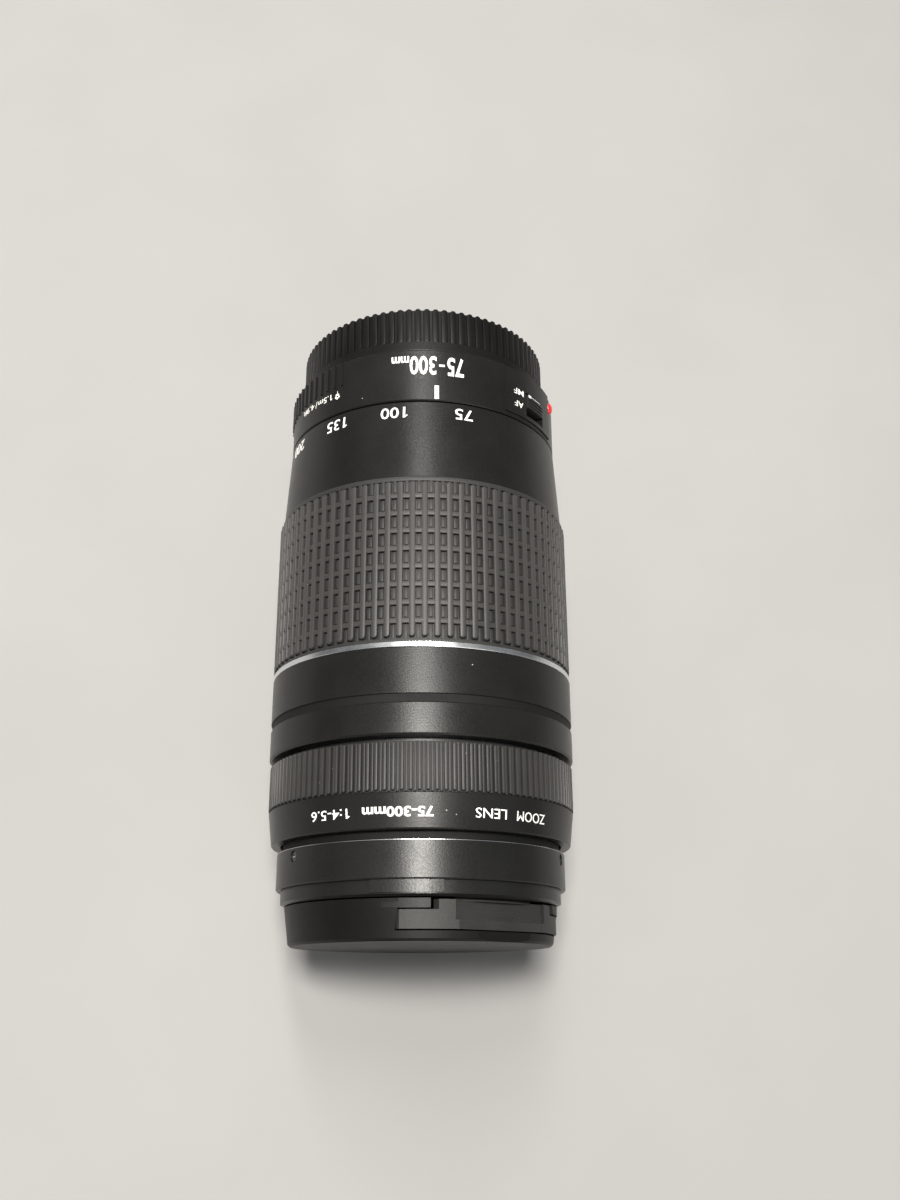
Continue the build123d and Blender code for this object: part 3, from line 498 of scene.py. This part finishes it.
# ---- focus ring: fine ribs with a lower strip between each two ----
sleeve = spun([(R_FOCUS_SEAT, FOCUS_FRONT), (R_FOCUS_FLOOR, FOCUS_FRONT), (R_FOCUS_FLOOR, FOCUS_END),
               (R_FOCUS_SEAT, FOCUS_END)], edge=0.1)
rib = all_round(rounded_bar(FOCUS_RIB_WIDTH, FOCUS_FRONT + 0.35, FOCUS_END - 0.3, R_FOCUS_FLOOR - ROOT,
                            R_FOCUS_RIB, FOCUS_RIB_EDGE), FOCUS_RIBS)
strip = rounded_bar(FOCUS_STRIP_WIDTH, FOCUS_FRONT + 0.12, FOCUS_END - 0.12, R_FOCUS_FLOOR - ROOT,
                    R_FOCUS_STRIP, FOCUS_STRIP_EDGE)
bmesh.ops.rotate(strip, verts=strip.verts, matrix=Matrix.Rotation(math.pi / FOCUS_RIBS, 3, "Y"))
strip = all_round(strip, FOCUS_RIBS)
piece("focus_grip_ribs", joined(sleeve, rib, strip), "focus_ring", "focus_rubber", ["focus_grip"])

# ---- rear cap: a ribbed cup with three bayonet lugs and a dished end ----
cup = spun([
    (R_CAP_BORE, CAP_FRONT), (R_CAP, CAP_FRONT), (R_CAP, CAP_LIP), (R_CAP_BODY, CAP_LIP),
    (R_CAP_BODY, CAP_END - 0.4), (R_CAP_BODY - 0.6, CAP_END),
    (R_DISH, CAP_END), (R_DISH - 0.4, CAP_END - DISH_DEPTH),
    (R_DISC, CAP_END - DISH_DEPTH), (R_DISC - 0.4, CAP_END - DISC_DEPTH), (0.0, CAP_END - DISC_DEPTH),
    (0.0, CAP_END - CAP_WALL), (R_CAP_BORE, CAP_END - CAP_WALL),
])
rib = all_round(rounded_bar(CAP_RIB_WIDTH, CAP_LIP - ROOT, CAP_END - 0.1, R_CAP_BODY - 0.3, R_CAP - 0.02,
                            CAP_RIB_EDGE), CAP_RIBS)
r_lug_root = R_CAP_BORE + ROOT
lug_outline = [(R_LUG, LUG_FRONT), (r_lug_root, LUG_FRONT), (r_lug_root, LUG_END), (R_LUG, LUG_END)]
lugs = [spun(lug_outline, 12, turn=LUG_TURN, start=angle - LUG_TURN / 2) for angle in (60, 180, 300)]
piece("rear_cap_ribbed", joined(cup, rib, *lugs), "rear_cap", "cap_black", ["rear_cap"])

# ---- red mounting mark: a glossy dome ----
R_DOME, DOME_PLACE, DOME_ANGLE = 1.45, (0, RIM + 122.3, 33.35), 67.6
dome = bmesh.new()
bmesh.ops.create_uvsphere(dome, u_segments=32, v_segments=16, radius=R_DOME,
                          matrix=Matrix.Translation(DOME_PLACE) @ Matrix.Diagonal((1, 1, 0.62, 1)))
bmesh.ops.rotate(dome, verts=dome.verts, matrix=Matrix.Rotation(math.radians(DOME_ANGLE), 3, "Y"))
piece("index_dome", dome, "housing", "index_red", ["index_dot"], smooth=60.0)

# ---- print on the name band: generic words and figures only ----
NAME_PLACE = RIM + 16.45
for name, text, height, width, angle, bold in (
    ("name_print_zoom", "ZOOM", 2.05, 8.5, 36.95, 0.0),
    ("name_print_lens", "LENS", 2.05, 7.3, 19.4, 0.005),
    ("name_print_range", "75-300mm", 2.15, 14.9, -13.5, 0.03),
    ("name_print_aperture", "1:4-5.6", 2.05, 10.0, -38.7, 0.005),
):
    letters = wrapped(lettering(text, height, width, bold), NAME_BAND, angle, NAME_PLACE)
    piece(name, letters, "focus_ring", "marking_white")

# ---- zoom scale ----
SCALE_PLACE, SCALE_HEIGHT, SCALE_BOLD = RIM + 108.25, 2.9, 0.008
for text, width, angle in (
    ("75", 4.3, 10.95), ("100", 6.4, -16.9), ("135", 6.2, -42.7), ("200", 6.6, -70.6), ("300", 6.6, -102.5),
):
    letters = wrapped(lettering(text, SCALE_HEIGHT, width, SCALE_BOLD), ZOOM_BAND, angle, SCALE_PLACE)
    piece("zoom_scale_" + text, letters, "zoom_ring", "marking_white")

# ---- print on the housing ----
HEADING_BASE = RIM + 123.1              # the foot of the heading's letters
DASH_RISE = 2.45
SMALL_BOLD = 0.006
for name, text, height, width, angle, bold in (
    ("heading_75", "75", 5.0, 4.0, 7.7, 0.022),
    ("heading_dash", "-", 0.55, 1.35, 2.1, 0.0),
    ("heading_300", "300", 5.0, 6.3, -5.5, 0.022),
    ("heading_mm", "mm", 1.75, 4.2, -14.75, 0.03),
):
    rise = DASH_RISE if text == "-" else height / 2
    letters = wrapped(lettering(text, height, width, bold), HOUSING, angle, HEADING_BASE - rise)
    piece(name, letters, "housing", "marking_white")
for name, text, height, width, angle, place in (
    ("close_focus_metres", "1.5m", 1.5, 5.2, -50.4, 116.5),
    ("close_focus_slash", "/", 1.6, 0.7, -56.3, 116.6),
    ("close_focus_feet", "4.9ft", 1.5, 5.6, -62.6, 116.7),
):
    letters = wrapped(lettering(text, height, width, SMALL_BOLD), HOUSING, angle, RIM + place)
    piece(name, letters, "housing", "marking_white")
SWITCH_PRINT_HEIGHT, SWITCH_PRINT_ANGLE = 1.55, 37.8
for name, text, width, place in (
    ("switch_print_af", "AF", 3.0, RIM + 115.4),
    ("switch_print_mf", "MF", 3.4, RIM + 118.75),
):
    letters = lettering(text, SWITCH_PRINT_HEIGHT, width, SMALL_BOLD)
    letters = wrapped(letters, PANEL, SWITCH_PRINT_ANGLE, place)
    piece(name, letters, "housing", "marking_white")

# the close-focus flower: five petals round an open eye, over a stem
PETALS, R_PETAL, R_PETAL_RING, RING_RISE = 5, 0.30, 0.5, 0.35
flower = bmesh.new()
for i in range(PETALS):
    turn = math.radians(18 + 360 / PETALS * i)
    middle = (R_PETAL_RING * math.cos(turn), RING_RISE + R_PETAL_RING * math.sin(turn), 0)
    bmesh.ops.create_circle(flower, cap_ends=True, segments=12, radius=R_PETAL,
                            matrix=Matrix.Translation(middle))
bmesh.ops.create_grid(flower, x_segments=1, y_segments=2, size=0.5,
                      matrix=Matrix.Translation((0, -0.65, 0)) @ Matrix.Diagonal((0.16, 0.8, 1, 1)))
bmesh.ops.solidify(flower, geom=flower.faces[:], thickness=PRINT_HEIGHT)
piece("close_focus_flower", wrapped(flower, HOUSING, -43.2, RIM + 116.4), "housing", "marking_white")

# ---- switch knob: a ribbed slider on its plate, with a white pointer line ----
KNOB = (RIM + 115.7, 34.0), (RIM + 119.4, 34.0)
KNOB_ANGLE, KNOB_MIDDLE = 49.0, RIM + 117.55
KNOB_STRIPS = 8
knob = []
for width, length, foot, top, edge, shift in (
    (8.8, 6.1, -3.6, -2.75, 0.1, 0.0),          # the plate in the housing
    (7.2, 3.65, -2.9, 0.0, 0.3, 0.0),           # the knob
    (6.2, 0.36, -0.2, 0.26, 0.12, -1.0),        # its three ridges
    (6.2, 0.36, -0.2, 0.26, 0.12, -0.2),
    (6.2, 0.36, -0.2, 0.26, 0.12, 0.6),
):
    block = rounded_block(width, length, foot, top, edge, KNOB_STRIPS)
    knob.append(wrapped(block, KNOB, KNOB_ANGLE, KNOB_MIDDLE + shift))
piece("switch_slider", joined(*knob), "af_switch", "knob_black", ["switch_knob"])
line = rounded_block(4.4, 0.14, -0.02, 0.05, 0.02, KNOB_STRIPS)
dot = rounded_block(1.0, 0.66, -0.02, 0.06, 0.02, 2)
pointer = joined(wrapped(line, KNOB, KNOB_ANGLE - 0.5, RIM + 118.95), wrapped(dot, KNOB, 44.4, RIM + 118.9))
piece("switch_pointer", pointer, "af_switch", "marking_white")

# ---- the latches' springs, which shorten as the latches are pressed ----
for side, angle in LATCH_ANGLES.items():
    coil = bmesh.new()
    coil.from_mesh(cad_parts[f"{side}_latch_spring"].data)
    bmesh.ops.remove_doubles(coil, verts=coil.verts, dist=1e-6)
    bmesh.ops.scale(coil, vec=(1 / MM, 1 / MM, 1 / MM), verts=coil.verts)
    spring = piece(f"{side}_spring_coil", coil, "front_cap", "spring_steel", [f"{side}_latch_spring"])
    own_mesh(spring)

# ---- painted highlight: a bright metal ring on the turned edge behind the front sleeve ----
R_EDGE_BORE, R_EDGE, EDGE_FRONT, EDGE_END = 32.3, 32.83, RIM + 11.05, RIM + 11.34
highlight_edge_ring = spun([(R_EDGE_BORE, EDGE_FRONT), (R_EDGE, EDGE_FRONT), (R_EDGE, EDGE_FRONT + 0.11),
                    (R_EDGE - 0.19, EDGE_END), (R_EDGE_BORE, EDGE_END)])
piece("sleeve_edge_painted_highlight", highlight_edge_ring, "front_barrel", "motor_can")

# ---- floor ----
floor_finish = Finish("stage_floor", specular_ior_level=0.2)
mottle = floor_finish.noise(60.0, 4.0, 0.55)
floor_tone = floor_finish.mix(mottle, grey(0.30, FLOOR_WARMTH), grey(0.34, FLOOR_WARMTH))
floor_finish.paint(floor_tone, 0.8 + (mottle - 0.5) * 0.1)
FLOOR_SIZE, FLOOR_GAP = 6.0, 0.05       # half the floor's width in metres; its clearance in millimetres
ground = bmesh.new()
bmesh.ops.create_grid(ground, x_segments=1, y_segments=1, size=FLOOR_SIZE,
                      matrix=Matrix.Translation((0, 0, (FLOOR - FLOOR_GAP) * MM)))
ground_mesh = bpy.data.meshes.new("stage_floor")
ground.to_mesh(ground_mesh)
ground.free()
ground_mesh.materials.append(floor_finish.material)
floor = bpy.data.objects.new("stage_floor", ground_mesh)
bpy.context.scene.collection.objects.link(floor)


# ---- light ----
LIT_POINT = Vector((0, -0.06, 0))       # the middle of the lens


def soft_light(name, place, size, power, tint):
    """A soft rectangular light that faces the middle of the lens."""
    lamp = bpy.data.lights.new(name, "AREA")
    lamp.shape = "RECTANGLE"
    lamp.size, lamp.size_y = size
    lamp.energy = power
    lamp.color = tint
    holder = bpy.data.objects.new(name, lamp)
    bpy.context.scene.collection.objects.link(holder)
    holder.location = place
    holder.rotation_euler = (LIT_POINT - Vector(place)).to_track_quat("-Z", "Y").to_euler()


soft_light("key_overhead", (-0.09, -0.02, 0.95), (0.14, 0.24), 15.0, (1.0, 0.97, 0.91))
soft_light("key_behind", (-0.09, 0.42, 0.95), (0.10, 0.5), 5.0, (1.0, 0.97, 0.92))
soft_light("front_panel", (0.35, -1.1, 0.45), (0.9, 0.5), 3.2, (1.0, 0.98, 0.95))
soft_light("rear_panel", (-0.35, 1.1, 0.45), (0.9, 0.5), 3.2, (0.97, 0.98, 1.0))
soft_light("fill_left", (-0.9, -0.1, 0.8), (0.5, 0.8), 0.6, (1.0, 0.98, 0.95))
soft_light("fill_right", (0.9, -0.1, 0.7), (0.4, 0.7), 0.35, (0.86, 0.93, 1.0))

world = bpy.data.worlds.new("soft_room")
world.use_nodes = True
room = world.node_tree.nodes["Background"]
room.inputs["Color"].default_value = (0.80, 0.81, 0.83, 1)
room.inputs["Strength"].default_value = 0.20
bpy.context.scene.world = world
bpy.context.scene.view_settings.view_transform = "Standard"

# ---- camera: above the lens, a little behind the front cap, looking back along it ----
CAMERA_TURN = math.radians(-5.3)        # the index line lies this far to the camera's right
CAMERA_PLACE = Vector((0, RIM - 20.43, 268.9)) * MM
PITCH, YAW, ROLL = 0.338, 0.024, 0.005
camera_data = bpy.data.cameras.new("camera")
camera_data.lens = 34.44
camera_data.sensor_width = 36.0
camera_data.clip_start = 0.01
camera = bpy.data.objects.new("camera", camera_data)
bpy.context.scene.collection.objects.link(camera)
about_axis = Matrix.Rotation(CAMERA_TURN, 4, "Y")
aim = Matrix.Rotation(PITCH, 4, "X") @ Matrix.Rotation(-YAW, 4, "Y") @ Matrix.Rotation(ROLL, 4, "Z")
camera.matrix_world = about_axis @ Matrix.Translation(CAMERA_PLACE) @ aim
bpy.context.scene.camera = camera
